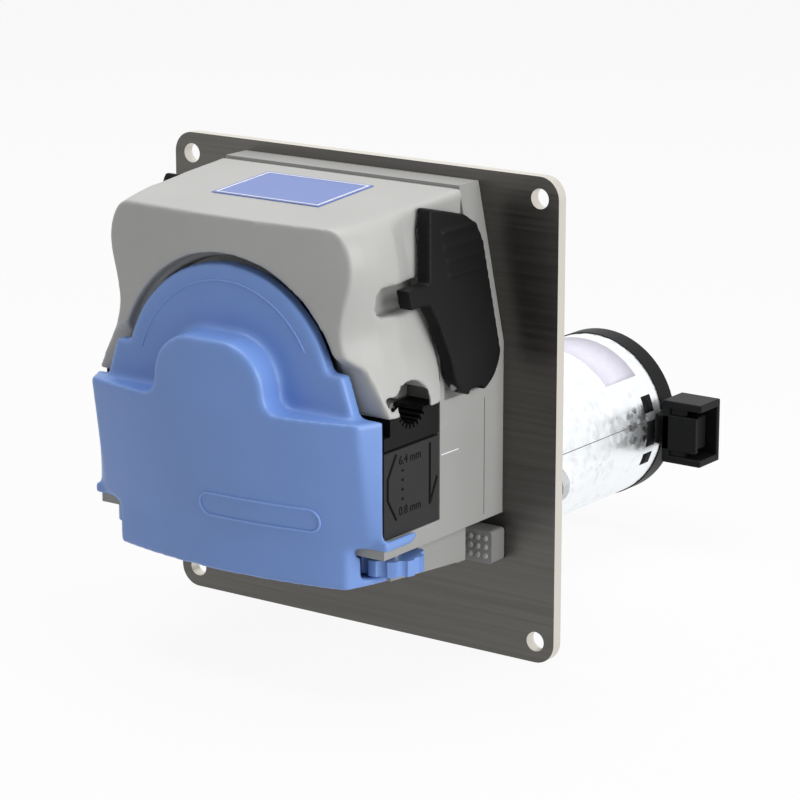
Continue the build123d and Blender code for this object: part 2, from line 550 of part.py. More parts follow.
for name, side in SIDES:
    x_align = Align.MIN if side > 0 else Align.MAX
    with BuildPart() as jaw:
        with Locations((side * JAW_INNER_X, FRONT_Y - CLAMP_DEPTH_MID, JAW_BOTTOM_Z)):
            Box(CLAMP_FACE_X - JAW_INNER_X, CLAMP_W, JAW_TOP_Z - JAW_BOTTOM_Z,
                align=(x_align, Align.CENTER, Align.MIN))
        with Locations((side * JAW_INNER_X, FRONT_Y - CLAMP_DEPTH_MID, STEM_BOTTOM_Z)):
            Box(STEM_X - JAW_INNER_X, 2 * STEM_HALF_W, JAW_BOTTOM_Z - STEM_BOTTOM_Z,
                align=(x_align, Align.CENTER, Align.MIN))
        with Locations((side * JAW_INNER_X, FRONT_Y - JAW_NOSE_DEPTH, JAW_TOP_Z - JAW_TRAVEL - SLIP)):
            Box(20, 10, 20, align=(x_align, Align.MAX, Align.MIN), mode=Mode.SUBTRACT)
        with BuildSketch(Plane.YZ.offset(side * JAW_INNER_X)):
            with Locations((FRONT_Y - CLAMP_DEPTH_MID, ROTOR_Z)):
                Circle(JAW_NOTCH_R)
                with PolarLocations(JAW_NOTCH_R, JAW_TEETH, 200, 140):
                    Rectangle(2 * JAW_TOOTH_H, 0.9)
        extrude(amount=side * (CLAMP_FACE_X - JAW_INNER_X), mode=Mode.SUBTRACT)
        with Locations((side * WHEEL_X, FRONT_Y - TUBE_DEPTH, STEM_BOTTOM_Z)):
            Cylinder(CLAMP_SCREW_R + RUNNING, CLAMP_SCREW_TOP_Z - STEM_BOTTOM_Z + 1,
                     align=(Align.CENTER, Align.CENTER, Align.MIN), mode=Mode.SUBTRACT)
    save(jaw, f"tube_jaw_{name}")

    with BuildPart() as scale_plate:
        with Locations((side * JAW_INNER_X, FRONT_Y - CLAMP_DEPTH_MID, LEDGE_Z + SEAT)):
            Box(CLAMP_FACE_X - JAW_INNER_X, CLAMP_W, SCALE_TOP_Z - LEDGE_Z - SEAT,
                align=(x_align, Align.CENTER, Align.MIN))
        with Locations((side * JAW_INNER_X, FRONT_Y - CLAMP_DEPTH_MID, LEDGE_Z - 1)):
            Box(STEM_X + SLIP - JAW_INNER_X, 2 * (STEM_HALF_W + SLIP), SCALE_TOP_Z - LEDGE_Z + 2,
                align=(x_align, Align.CENTER, Align.MIN), mode=Mode.SUBTRACT)
    save(scale_plate, f"scale_plate_{name}")

    with BuildPart() as thumbwheel:
        with BuildSketch(Plane.XY.offset(WHEEL_TOP_Z - WHEEL_T)):
            with Locations((side * WHEEL_X, FRONT_Y - TUBE_DEPTH)):
                Circle(WHEEL_R)
                Circle(CLAMP_SCREW_R + SEAT / 5, mode=Mode.SUBTRACT)
                with PolarLocations(WHEEL_R + 1.0, WHEEL_SCALLOPS):
                    Circle(SCALLOP_R, mode=Mode.SUBTRACT)
        extrude(amount=WHEEL_T)
    save(thumbwheel, f"thumbwheel_{name}")

    with BuildPart() as clamp_screw:
        with Locations((side * WHEEL_X, FRONT_Y - TUBE_DEPTH, WHEEL_TOP_Z - WHEEL_T)):
            Cylinder(CLAMP_SCREW_R, CLAMP_SCREW_TOP_Z - WHEEL_TOP_Z + WHEEL_T,
                     align=(Align.CENTER, Align.CENTER, Align.MIN))
        with Locations((side * WHEEL_X, FRONT_Y - TUBE_DEPTH, LEDGE_Z + SLIP)):
            Cylinder(COLLAR_R, COLLAR_T, align=(Align.CENTER, Align.CENTER, Align.MIN))
        with Locations((side * WHEEL_X, FRONT_Y - TUBE_DEPTH, HOUSING_BOTTOM_Z - SLIP)):
            Cylinder(COLLAR_R, HOUSING_BOTTOM_Z - SLIP - WHEEL_TOP_Z,
                     align=(Align.CENTER, Align.CENTER, Align.MAX))
    save(clamp_screw, f"clamp_screw_{name}")

# ---- rotor --------------------------------------------------------------------------------
CARRIER_BACK = TUBE_DEPTH - ROLLER_W / 2 - SLIP - CARRIER_T
CARRIER_FRONT = TUBE_DEPTH + ROLLER_W / 2 + SLIP
ROTOR_FRONT = CARRIER_FRONT + CARRIER_T
SHAFT_FRONT = ROTOR_FRONT - 0.5


def carrier(depth):
    """Disc that holds the ends of the roller pins."""
    with BuildPart() as disc:
        with BuildSketch(fwd(depth)):
            with Locations((0, ROTOR_Z)):
                Circle(CARRIER_R)
                Circle(SHAFT_R + SEAT / 5, mode=Mode.SUBTRACT)
                with PolarLocations(ORBIT_R, ROLLERS):
                    Circle(ROLLER_PIN_R + SEAT / 5, mode=Mode.SUBTRACT)
                with PolarLocations(CARRIER_R + 6, ROLLERS, 180 / ROLLERS):
                    Circle(ORBIT_R / 2.2, mode=Mode.SUBTRACT)
        extrude(amount=CARRIER_T)
    return disc


save(carrier(CARRIER_BACK), "rotor_rear_carrier")
save(carrier(CARRIER_FRONT), "rotor_front_carrier")

with BuildPart() as rotor_hub:
    with BuildSketch(fwd(CARRIER_BACK + CARRIER_T)):
        with Locations((0, ROTOR_Z)):
            Circle(ROTOR_HUB_R)
            Circle(SHAFT_R + SEAT / 5, mode=Mode.SUBTRACT)
    extrude(amount=CARRIER_FRONT - CARRIER_BACK - CARRIER_T)
save(rotor_hub, "rotor_hub")

with BuildPart() as roller_pins:
    with BuildSketch(fwd(CARRIER_BACK)):
        with Locations((0, ROTOR_Z)):
            with PolarLocations(ORBIT_R, ROLLERS):
                Circle(ROLLER_PIN_R)
    extrude(amount=ROTOR_FRONT - CARRIER_BACK)
save(roller_pins, "roller_pins")

for number in range(ROLLERS):
    angle = radians(360 / ROLLERS * number)
    with BuildPart() as roller:
        with BuildSketch(fwd(TUBE_DEPTH - ROLLER_W / 2)):
            with Locations((ORBIT_R * cos(angle), ROTOR_Z + ORBIT_R * sin(angle))):
                Circle(ROLLER_R)
                Circle(ROLLER_PIN_R + RUNNING, mode=Mode.SUBTRACT)
        extrude(amount=ROLLER_W)
    save(roller, f"roller_{number + 1}")

with BuildPart() as drive_shaft:
    with BuildSketch(fwd(SHAFT_FRONT)):
        with Locations((0, ROTOR_Z)):
            Circle(SHAFT_R)
    extrude(amount=-(SHAFT_FRONT + PLATE_T + GEARBOX_DEPTH - 4))
save(drive_shaft, "drive_shaft")

with BuildPart() as rotor_screw:
    with BuildSketch(fwd(ROTOR_FRONT)):
        with Locations((0, ROTOR_Z)):
            Circle(SHAFT_R + 2.5)
    extrude(amount=1.6)
    with Locations((0, FRONT_Y - ROTOR_FRONT - 1.6, ROTOR_Z)):
        Cylinder(1.6, 2.4, rotation=(90, 0, 0), mode=Mode.SUBTRACT)
save(rotor_screw, "rotor_screw")


def bush(depth, length):
    """Plain bush for the drive shaft."""
    with BuildPart() as ring:
        with BuildSketch(fwd(depth)):
            with Locations((0, ROTOR_Z)):
                Circle(SHAFT_R + BUSH_WALL)
                Circle(SHAFT_R + RUNNING, mode=Mode.SUBTRACT)
        extrude(amount=length)
    return ring


save(bush(0.5, REAR_T - 0.7), "rear_bush")
save(bush(CLAMP_BACK - 16, 16), "front_bush")

# ---- front cover --------------------------------------------------------------------------
COVER_BACK = HOUSING_DEPTH + SLIP
SKIRT_BACK = FOOT_FRONT + SLIP
SKIRT_TOP_Z = HOUSING_BOTTOM_Z - SLIP
ARM_BACK = TUBE_DEPTH
ARM_T = 1.8
CUT_THROUGH = 1.0


def panel_section(z, halves, depths, inset):
    """Plan outline of the cover at one height, its front bowed between the two edges."""
    front, back = halves[0] - inset, halves[1] - inset
    edge_y, middle_y = FRONT_Y - depths[1] + inset, FRONT_Y - depths[2] + inset
    back_y = FRONT_Y - depths[0] + (CUT_THROUGH if inset else 0)
    with BuildSketch(Plane.XY.offset(z)) as section:
        with BuildLine():
            Polyline((-front, edge_y), (-back, back_y), (back, back_y), (front, edge_y))
            ThreePointArc((front, edge_y), (0, middle_y), (-front, edge_y))
        make_face()
    return section.sketch


def cover_outline(inset):
    """Front view of the cover: boss, shelf and sides."""
    shelf = SHELF_Z - inset
    with BuildSketch(fwd(SKIRT_BACK - 10)) as outline:
        Polygon(*both_sides([
            (60, SKIRT_BOTTOM_Z + inset), (60, shelf), (BOSS_HALF_W + 1.5 - inset, shelf),
            (BOSS_HALF_W - 0.7 - inset, BOSS_TOP_Z - inset),
        ]), align=None)
        fillet(outline.vertices().group_by(Axis.Y)[-1], BOSS_CORNER_R - inset)
        shelf_corners = outline.vertices().filter_by(lambda corner: abs(corner.Y - shelf) < 0.01)
        fillet(shelf_corners.sort_by(lambda corner: abs(corner.X))[:2], BOSS_ROOT_R + inset)
    return outline.sketch


def cover_form(inset=0.0):
    """Bowed and leaning front of the cover, trimmed to its outline seen from the front."""
    panel, skirt = (PANEL_HALF_W, HOUSING_HALF_W), (SKIRT_HALF_W, FOOT_HALF_W)
    neck = (SKIRT_HALF_W, SKIRT_HALF_W + 1.2)
    with BuildPart() as form:
        loft(sections=[
            panel_section(BOSS_TOP_Z + 2, panel, (COVER_BACK, SHELL_DEPTH + 5.0, SHELL_DEPTH + 12.6), inset),
            panel_section(SHELF_Z, panel, (COVER_BACK, SHELL_DEPTH + 4.6, SHELL_DEPTH + 12.2), inset),
            panel_section(PANEL_STEP_Z, panel, (COVER_BACK, SHELL_DEPTH - 1.8, SHELL_DEPTH + 6.4), inset),
            panel_section(NECK_Z, neck, (COVER_BACK, SHELL_DEPTH, SHELL_DEPTH + 6.2), inset),
            panel_section(SKIRT_TOP_Z, neck, (COVER_BACK, SHELL_DEPTH, SHELL_DEPTH + 6.0), inset),
        ], ruled=True)
        extrude(
            panel_section(SKIRT_TOP_Z, skirt, (SKIRT_BACK, SHELL_DEPTH, SHELL_DEPTH + 6.0), inset),
            amount=SKIRT_BOTTOM_Z + inset - SKIRT_TOP_Z,
        )
        extrude(cover_outline(inset), amount=60, mode=Mode.INTERSECT)
    return form


def disc_outline(inset):
    """Disc that fills the shell's opening, with its shoulders."""
    with Locations((0, ROTOR_Z)):
        Circle(DISC_R - inset)
    Polygon(*both_sides([
        (49 - inset, 0), (48.5 - inset, SHELF_Z), (44 - inset, 26 - inset), (34, 26 - inset),
    ]), align=None)


cover_outside = cover_form()
cover_inside = cover_form(COVER_WALL)

with BuildPart() as front_cover:
    add(cover_outside.part)
    with BuildSketch(fwd(COVER_BACK)):
        disc_outline(0)
    extrude(amount=DISC_FACE - COVER_BACK)
    add(cover_inside.part, mode=Mode.SUBTRACT)
    with BuildSketch(fwd(COVER_BACK)):
        disc_outline(COVER_WALL)
    extrude(amount=DISC_FACE - COVER_BACK - COVER_WALL, mode=Mode.SUBTRACT)
    for side in (-1, 1):
        with Locations((side * WHEEL_X, FRONT_Y - TUBE_DEPTH, WHEEL_SLOT[0])):
            Cylinder(WHEEL_SLOT_R + 1.5, 20, align=(Align.CENTER, Align.CENTER, Align.MIN),
                     mode=Mode.SUBTRACT)
        with BuildSketch(Plane.YZ.offset(side * (HOUSING_HALF_W + SLIP))):  # arm along the ledge
            Polygon(
                (FRONT_Y - COVER_BACK - 1.2, LEDGE_Z + 0.4), (FRONT_Y - ARM_BACK, LEDGE_Z + 0.4),
                (FRONT_Y - ARM_BACK + 1.2, LEDGE_Z - 1), (FRONT_Y - ARM_BACK - 2, LEDGE_Z - 3.2),
                (FRONT_Y - COVER_BACK - 1.2, LEDGE_Z - 3.2), align=None,
            )
        extrude(amount=side * ARM_T)
        with BuildSketch(fwd(COVER_BACK)):
            Polygon(
                (side * 50, LEDGE_Z + 0.4), (side * (HOUSING_HALF_W + SLIP + ARM_T), LEDGE_Z + 0.4),
                (side * (HOUSING_HALF_W + SLIP + ARM_T), LEDGE_Z - 3.2), (side * 46, LEDGE_Z - 3.2),
                align=None,
            )
        extrude(amount=1.2)
save(front_cover, "front_cover")

# ---- top label ----------------------------------------------------------------------------
LABEL_HALF_W = 20.8
LABEL_DEPTHS = (20.9, 49.7)
LABEL_T = 0.3

with BuildPart() as top_label:
    with BuildSketch(Plane.YZ):
        Polygon(
            *[(FRONT_Y - depth, shell_top(depth) + SEAT / 5) for depth in LABEL_DEPTHS],
            *[(FRONT_Y - depth, shell_top(depth) + LABEL_T) for depth in reversed(LABEL_DEPTHS)], align=None,
        )
    extrude(amount=LABEL_HALF_W, both=True)
save(top_label, "top_label")

# ---- gearbox ------------------------------------------------------------------------------
AXIS_GAP = ROTOR_Z - MOTOR_Z
SLOW_CENTRES = SLOW_MODULE * (OUTPUT_TEETH + IDLER_PINION_TEETH) / 2
FAST_CENTRES = FAST_MODULE * (PINION_TEETH + IDLER_WHEEL_TEETH) / 2
IDLER_DROP = (SLOW_CENTRES**2 + AXIS_GAP**2 - FAST_CENTRES**2) / (2 * AXIS_GAP)
IDLER_X = sqrt(SLOW_CENTRES**2 - IDLER_DROP**2)
IDLER_Z = ROTOR_Z - IDLER_DROP
SLOW_MESH = -degrees(acos(IDLER_X / SLOW_CENTRES))  # direction of the idler from the rotor axis
FAST_MESH = degrees(acos(IDLER_X / FAST_CENTRES))  # direction of the idler from the motor axis
PRESSURE = tan(radians(20))


def gear_outline(module, teeth, tooth_at):
    """Toothed outline about the origin, with the middle of a tooth in the given direction."""
    pitch_r = module * teeth / 2
    half_pitch_tooth = pi * module / 4 - BACKLASH / 4
    outline = []
    for tooth in range(teeth):
        middle = radians(tooth_at) + 2 * pi * tooth / teeth
        for height, sign in ((-1.3, -1), (0.9, -1), (0.9, 1), (-1.3, 1)):
            radius = pitch_r + height * module
            half_angle = (half_pitch_tooth - height * module * PRESSURE) / radius
            angle = middle + sign * half_angle
            outline.append((radius * cos(angle), radius * sin(angle)))
    Polygon(*outline, align=None)


def gear_plane(centre, distance):
    """Plane behind the plate, centred on a gear axis, drawn as seen from the front."""
    return Plane((centre[0], distance, centre[1]), x_dir=(1, 0, 0), z_dir=(0, -1, 0))


def case_outline(inset):
    """Outline of the gearbox round the rotor and motor axes."""
    with Locations((0, -ROTOR_Z)):
        Circle(GEARBOX_TOP_R - inset)
    with Locations((0, -MOTOR_Z)):
        Circle(GEARBOX_MOTOR_R - inset)
    make_hull()


with BuildPart() as gearbox_case:
    with BuildSketch(aft(0)):
        case_outline(0)
        with Locations(*[(x, -z) for x, z in GEARBOX_SCREWS]):
            Circle(5.0)
    extrude(amount=GEARBOX_DEPTH)
    with BuildSketch(aft(4)):
        case_outline(GEARBOX_WALL)
        with Locations(*[(x, -z) for x, z in GEARBOX_SCREWS]):
            Circle(5.0, mode=Mode.SUBTRACT)
    extrude(amount=GEARBOX_DEPTH, mode=Mode.SUBTRACT)
    with BuildSketch(aft(0)):
        with Locations((0, -ROTOR_Z)):
            Circle(SHAFT_R + 2)
        with Locations((IDLER_X, -IDLER_Z)):
            Circle(IDLER_PIN_R + SEAT / 5)
        with Locations(*[(x, -z) for x, z in GEARBOX_SCREWS]):
            Circle(M4_R + SEAT)
    extrude(amount=GEARBOX_DEPTH, mode=Mode.SUBTRACT)
save(gearbox_case, "gearbox_case")

with BuildPart() as gearbox_lid:
    with BuildSketch(aft(GEARBOX_DEPTH)):
        case_outline(0)
        with Locations((-MOTOR_EAR_X, -MOTOR_Z), (MOTOR_EAR_X, -MOTOR_Z)):
            Circle(MOTOR_EAR_R)
        with Locations(*[(x, -z) for x, z in GEARBOX_SCREWS]):
            Circle(5.0)
        with Locations((0, -MOTOR_Z)):
            Circle(8.0, mode=Mode.SUBTRACT)
        with Locations((IDLER_X, -IDLER_Z)):
            Circle(IDLER_PIN_R + SEAT / 5, mode=Mode.SUBTRACT)
        with Locations(*[(x, -z) for x, z in GEARBOX_SCREWS]):
            Circle(M4_R + SEAT, mode=Mode.SUBTRACT)
        with Locations((-MOTOR_EAR_X, -MOTOR_Z), (MOTOR_EAR_X, -MOTOR_Z)):
            Circle(M4_R + SEAT, mode=Mode.SUBTRACT)
    extrude(amount=GEARBOX_LID_T)
save(gearbox_lid, "gearbox_lid")

with BuildPart() as output_gear:
    with BuildSketch(gear_plane((0, ROTOR_Z), SLOW_STAGE[1])):
        gear_outline(SLOW_MODULE, OUTPUT_TEETH, SLOW_MESH)
        Circle(SHAFT_R + SEAT / 5, mode=Mode.SUBTRACT)
    extrude(amount=SLOW_STAGE[1] - SLOW_STAGE[0])
save(output_gear, "output_gear")

with BuildPart() as idler_gear:
    with BuildSketch(gear_plane((IDLER_X, IDLER_Z), SLOW_STAGE[1])):
        gear_outline(SLOW_MODULE, IDLER_PINION_TEETH, SLOW_MESH + 180 + 180 / IDLER_PINION_TEETH)
    extrude(amount=SLOW_STAGE[1] - SLOW_STAGE[0])
    with BuildSketch(gear_plane((IDLER_X, IDLER_Z), FAST_STAGE[1])):
        gear_outline(FAST_MODULE, IDLER_WHEEL_TEETH, FAST_MESH + 180 + 180 / IDLER_WHEEL_TEETH)
    extrude(amount=FAST_STAGE[1] - FAST_STAGE[0])
    with BuildSketch(gear_plane((IDLER_X, IDLER_Z), FAST_STAGE[1])):
        Circle(2 * IDLER_PIN_R)
    extrude(amount=FAST_STAGE[1] - SLOW_STAGE[0])
    with BuildSketch(gear_plane((IDLER_X, IDLER_Z), FAST_STAGE[1])):
        Circle(IDLER_PIN_R + RUNNING)
    extrude(amount=FAST_STAGE[1] - SLOW_STAGE[0], mode=Mode.SUBTRACT)
save(idler_gear, "idler_gear")

with BuildPart() as idler_pin:
    with BuildSketch(gear_plane((IDLER_X, IDLER_Z), FLANGE_BACK - SEAT)):
        Circle(IDLER_PIN_R)
    extrude(amount=FLANGE_BACK - 2 * SEAT)
save(idler_pin, "idler_pin")

with BuildPart() as motor_pinion:
    with BuildSketch(gear_plane((0, MOTOR_Z), FAST_STAGE[1] + 1)):
        gear_outline(FAST_MODULE, PINION_TEETH, FAST_MESH)
        Circle(MOTOR_SHAFT_R + SEAT / 5, mode=Mode.SUBTRACT)
    extrude(amount=FAST_STAGE[1] - FAST_STAGE[0] + 2)
save(motor_pinion, "motor_pinion")

# ---- motor --------------------------------------------------------------------------------
CAN_INNER_R = MOTOR_R - MOTOR_CAN_T
MOTOR_EARS = [(-MOTOR_EAR_X, 0), (MOTOR_EAR_X, 0)]
ARMATURE_FROM = CAN_BACK + 10
COMMUTATOR_FROM = ARMATURE_FROM + ARMATURE_L + 3
COMMUTATOR_L = 10.0
CAP_RIM = 0.4

with BuildPart() as motor_flange:
    with BuildSketch(gear_plane((0, MOTOR_Z), CAN_BACK)):
        Circle(MOTOR_R)
        Rectangle(2 * MOTOR_EAR_X, 2 * MOTOR_EAR_R)
        with Locations(*MOTOR_EARS):
            Circle(MOTOR_EAR_R)
            Circle(M4_R + SEAT, mode=Mode.SUBTRACT)
        Circle(MOTOR_SHAFT_R + RUNNING, mode=Mode.SUBTRACT)
    extrude(amount=MOTOR_FLANGE_T)
    with BuildSketch(gear_plane((0, MOTOR_Z), FLANGE_BACK)):
        Circle(8.0 - SEAT)
        Circle(MOTOR_SHAFT_R + RUNNING, mode=Mode.SUBTRACT)
    extrude(amount=3)
save(motor_flange, "motor_flange")

with BuildPart() as motor_can:
    with BuildSketch(gear_plane((0, MOTOR_Z), CAP_BACK - END_CAP_T)):
        Circle(MOTOR_R)
        Circle(CAN_INNER_R, mode=Mode.SUBTRACT)
    extrude(amount=CAP_BACK - END_CAP_T - CAN_BACK)
save(motor_can, "motor_can")

with BuildPart() as magnets:
    with BuildSketch(gear_plane((0, MOTOR_Z), ARMATURE_FROM + ARMATURE_L + 2)):
        Circle(CAN_INNER_R - SEAT / 5)
        Circle(CAN_INNER_R - MAGNET_T, mode=Mode.SUBTRACT)
        Rectangle(2 * MOTOR_R, 12, mode=Mode.SUBTRACT)
    extrude(amount=ARMATURE_L + 4)
save(magnets, "magnets")

with BuildPart() as armature:
    with BuildSketch(gear_plane((0, MOTOR_Z), ARMATURE_FROM + ARMATURE_L)):
        Circle(ARMATURE_R)
        with PolarLocations(ARMATURE_R - 2, 8):
            Rectangle(6, 2.4, mode=Mode.SUBTRACT)
        Circle(MOTOR_SHAFT_R + SEAT / 5, mode=Mode.SUBTRACT)
    extrude(amount=ARMATURE_L)
save(armature, "armature")

with BuildPart() as commutator:
    with BuildSketch(gear_plane((0, MOTOR_Z), COMMUTATOR_FROM + COMMUTATOR_L)):
        Circle(COMMUTATOR_R)
        Circle(MOTOR_SHAFT_R + SEAT / 5, mode=Mode.SUBTRACT)
    extrude(amount=COMMUTATOR_L)
save(commutator, "commutator")

with BuildPart() as motor_shaft:
    with BuildSketch(gear_plane((0, MOTOR_Z), CAP_BACK - 3)):
        Circle(MOTOR_SHAFT_R)
    extrude(amount=CAP_BACK - 3 - FAST_STAGE[0] + 1.5)
save(motor_shaft, "motor_shaft")

CONNECTOR_X = MOTOR_R + SEAT
SOCKET_WALL = 1.8

with BuildPart() as end_cap:
    with BuildSketch(gear_plane((0, MOTOR_Z), CAP_BACK)):
        Circle(MOTOR_R + CAP_RIM)
    extrude(amount=END_CAP_T)
    with BuildSketch(gear_plane((0, MOTOR_Z), CAP_BACK - END_CAP_T)):
        Circle(CAN_INNER_R - SEAT)
        Circle(CAN_INNER_R - 2.5, mode=Mode.SUBTRACT)
    extrude(amount=4)
    with BuildSketch(gear_plane((0, MOTOR_Z), CAP_BACK - 2)):
        Circle(MOTOR_SHAFT_R + RUNNING)
    extrude(amount=END_CAP_T, mode=Mode.SUBTRACT)
    with Locations((MOTOR_R - 4, CAP_BACK - END_CAP_T / 2, MOTOR_Z)):
        Box(10, END_CAP_T + 10, 12 + 2 * SEAT, align=(Align.MIN, Align.CENTER, Align.CENTER),
            mode=Mode.SUBTRACT)
save(end_cap, "end_cap")

with BuildPart() as brush_gear:
    for side in (-1, 1):
        with Locations((side * (COMMUTATOR_R + RUNNING), COMMUTATOR_FROM + COMMUTATOR_L / 2, MOTOR_Z)):
            Box(CAN_INNER_R - COMMUTATOR_R - 4 * SEAT, 5, 6,
                align=(Align.MIN if side > 0 else Align.MAX, Align.CENTER, Align.CENTER))
save(brush_gear, "brush_gear")

with BuildPart() as connector_housing:
    with Locations((CONNECTOR_X, CAP_BACK - CONNECTOR_D / 2, MOTOR_Z)):
        Box(CONNECTOR_W - 2, CONNECTOR_D, CONNECTOR_H, align=(Align.MIN, Align.CENTER, Align.CENTER))
    with Locations((MOTOR_R - 4 + SEAT, CAP_BACK - END_CAP_T / 2, MOTOR_Z)):
        Box(6, END_CAP_T - 2, 12, align=(Align.MIN, Align.CENTER, Align.CENTER))
    with Locations((CONNECTOR_X + CONNECTOR_W, CAP_BACK - CONNECTOR_D / 2, MOTOR_Z)):
        Box(2 * (CONNECTOR_W - 4), CONNECTOR_D - 2 * SOCKET_WALL, CONNECTOR_H - 2 * SOCKET_WALL,
            mode=Mode.SUBTRACT)
save(connector_housing, "connector_housing")

with BuildPart() as connector_pins:
    with Locations(*[
        (CONNECTOR_X + 4 + SEAT / 5, CAP_BACK - CONNECTOR_D / 2, MOTOR_Z + z) for z in (-4, 4)
    ]):
        Box(BLADE_L, 0.8, 4.8, align=(Align.MIN, Align.CENTER, Align.CENTER))
save(connector_pins, "connector_pins")

# ---- screws -------------------------------------------------------------------------------
HEAD_T = 2.4


def screws(places, head_plane, head_r, radius, length):
    """Cap screws with their heads on a plane and their shanks behind it."""
    with BuildPart() as group:
        with BuildSketch(head_plane):
            with Locations(*places):
                Circle(head_r)
        extrude(amount=HEAD_T)
        with BuildSketch(head_plane):
            with Locations(*places):
                Circle(radius)
        extrude(amount=-length)
        with BuildSketch(head_plane.offset(HEAD_T)):
            with Locations(*places):
                RegularPolygon(radius * 0.8, 6)
        extrude(amount=-HEAD_T / 2, mode=Mode.SUBTRACT)
    return group


save(screws([(x, -z) for x, z in HOUSING_SCREWS], aft(0), 2 * M4_R, M4_R, PLATE_T + 7), "housing_screws")
save(screws([(x, -z) for x, z in GEARBOX_SCREWS], aft(FLANGE_BACK), 2 * M4_R, M4_R,
            FLANGE_BACK + PLATE_T - 1.5), "gearbox_screws")
save(screws([(x, -MOTOR_Z) for x, _ in MOTOR_EARS], aft(CAN_BACK), 2 * M4_R, M4_R,
            MOTOR_FLANGE_T + GEARBOX_LID_T - 0.5), "motor_screws")
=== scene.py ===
"""Looks of the peristaltic pump head: materials, soft edges, camera, light, marks and small trim."""
import json
from math import cos, pi, radians, sin

import bpy
from mathutils import Matrix, Vector


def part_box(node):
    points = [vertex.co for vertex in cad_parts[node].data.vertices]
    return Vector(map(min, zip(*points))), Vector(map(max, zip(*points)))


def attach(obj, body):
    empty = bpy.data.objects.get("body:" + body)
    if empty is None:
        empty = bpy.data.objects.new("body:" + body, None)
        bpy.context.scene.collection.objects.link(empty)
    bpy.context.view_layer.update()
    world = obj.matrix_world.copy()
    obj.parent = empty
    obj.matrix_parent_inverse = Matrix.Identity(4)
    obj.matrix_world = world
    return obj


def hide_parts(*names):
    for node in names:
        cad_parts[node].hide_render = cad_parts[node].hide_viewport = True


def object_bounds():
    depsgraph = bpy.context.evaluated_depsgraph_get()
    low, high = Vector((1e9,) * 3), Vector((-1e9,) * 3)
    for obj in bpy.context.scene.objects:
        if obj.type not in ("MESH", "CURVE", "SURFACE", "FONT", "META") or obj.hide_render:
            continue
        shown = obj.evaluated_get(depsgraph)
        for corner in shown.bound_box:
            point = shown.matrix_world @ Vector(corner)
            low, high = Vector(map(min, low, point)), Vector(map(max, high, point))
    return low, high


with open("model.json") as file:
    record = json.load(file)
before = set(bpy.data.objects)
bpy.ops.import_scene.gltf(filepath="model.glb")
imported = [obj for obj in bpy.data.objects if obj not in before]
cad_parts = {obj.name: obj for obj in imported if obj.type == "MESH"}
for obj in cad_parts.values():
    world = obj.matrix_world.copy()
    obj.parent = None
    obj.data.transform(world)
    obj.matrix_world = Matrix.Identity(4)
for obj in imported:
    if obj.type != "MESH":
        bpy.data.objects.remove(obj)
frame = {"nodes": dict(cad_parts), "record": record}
cad_box = [list(corner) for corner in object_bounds()]
nodes = frame["nodes"]
MM = 0.001

# ---- colours, as linear RGB ---------------------------------------------------------------
GREY = (0.41, 0.408, 0.396)
BLUE = (0.160, 0.288, 0.640)
# Darker copies of the grey plastic: painted shade on the housings, the catches and their grip pips
BASE_GREY_PAINTED_SHADE = (0.31, 0.31, 0.30)
CATCH_GREY_PAINTED_SHADE = (0.21, 0.21, 0.205)
BLACK = (0.006, 0.006, 0.0065)
SCALE_GREY = (0.030, 0.030, 0.031)
INK = (0.003, 0.003, 0.003)
SHADOW_GREY = (0.10, 0.10, 0.097)
# Stainless plate: a painted dark reflection on its faces and a painted highlight on its sides
STAINLESS_PAINTED_DARK = (0.115, 0.110, 0.103)
EDGE_PAINTED_HIGHLIGHT = (0.66, 0.63, 0.57)
BEAD_BLUE = (0.20, 0.34, 0.70)
GALVANISED = (0.86, 0.89, 0.93)
STEEL = (0.56, 0.56, 0.57)
CAST = (0.55, 0.56, 0.57)
BRASS = (0.68, 0.50, 0.22)
FERRITE = (0.05, 0.05, 0.055)
NATURAL = (0.78, 0.77, 0.72)
LABEL_BLUE = (0.10, 0.17, 0.47)
PAPER = (0.66, 0.64, 0.74)
WHITE = (0.85, 0.85, 0.86)


# ---- materials ----------------------------------------------------------------------------
def new_material(name, roughness, metallic=0.0):
    material = bpy.data.materials.new(name)
    material.use_nodes = True
    shader = material.node_tree.nodes["Principled BSDF"]
    shader.inputs["Roughness"].default_value = roughness
    shader.inputs["Metallic"].default_value = metallic
    return material, material.node_tree, shader


def texture(tree, kind, scale, stretch=(1, 1, 1), **settings):
    """A texture in object coordinates, in metres, stretched along the axes."""
    place = tree.nodes.new("ShaderNodeTexCoord")
    mapping = tree.nodes.new("ShaderNodeMapping")
    mapping.inputs["Scale"].default_value = stretch
    made = tree.nodes.new(kind)
    made.inputs["Scale"].default_value = scale
    for key, value in settings.items():
        made.inputs[key].default_value = value
    tree.links.new(place.outputs["Object"], mapping.inputs["Vector"])
    tree.links.new(mapping.outputs["Vector"], made.inputs["Vector"])
    return made


def tint(tree, shader, colour, factor, spread):
    """Base colour that varies a little with a texture's factor."""
    ramp = tree.nodes.new("ShaderNodeValToRGB")
    ramp.color_ramp.elements[0].position = 0.3
    ramp.color_ramp.elements[1].position = 0.7
    ramp.color_ramp.elements[0].color = [*[c * (1 - spread) for c in colour], 1]
    ramp.color_ramp.elements[1].color = [*[min(1, c * (1 + spread)) for c in colour], 1]
    tree.links.new(factor, ramp.inputs["Fac"])
    tree.links.new(ramp.outputs["Color"], shader.inputs["Base Color"])


def roughen(tree, shader, factor, low, high):
    """Roughness between low and high with a texture's factor."""
    spread = tree.nodes.new("ShaderNodeMapRange")
    spread.inputs["To Min"].default_value = low
    spread.inputs["To Max"].default_value = high
    tree.links.new(factor, spread.inputs["Value"])
    tree.links.new(spread.outputs["Result"], shader.inputs["Roughness"])


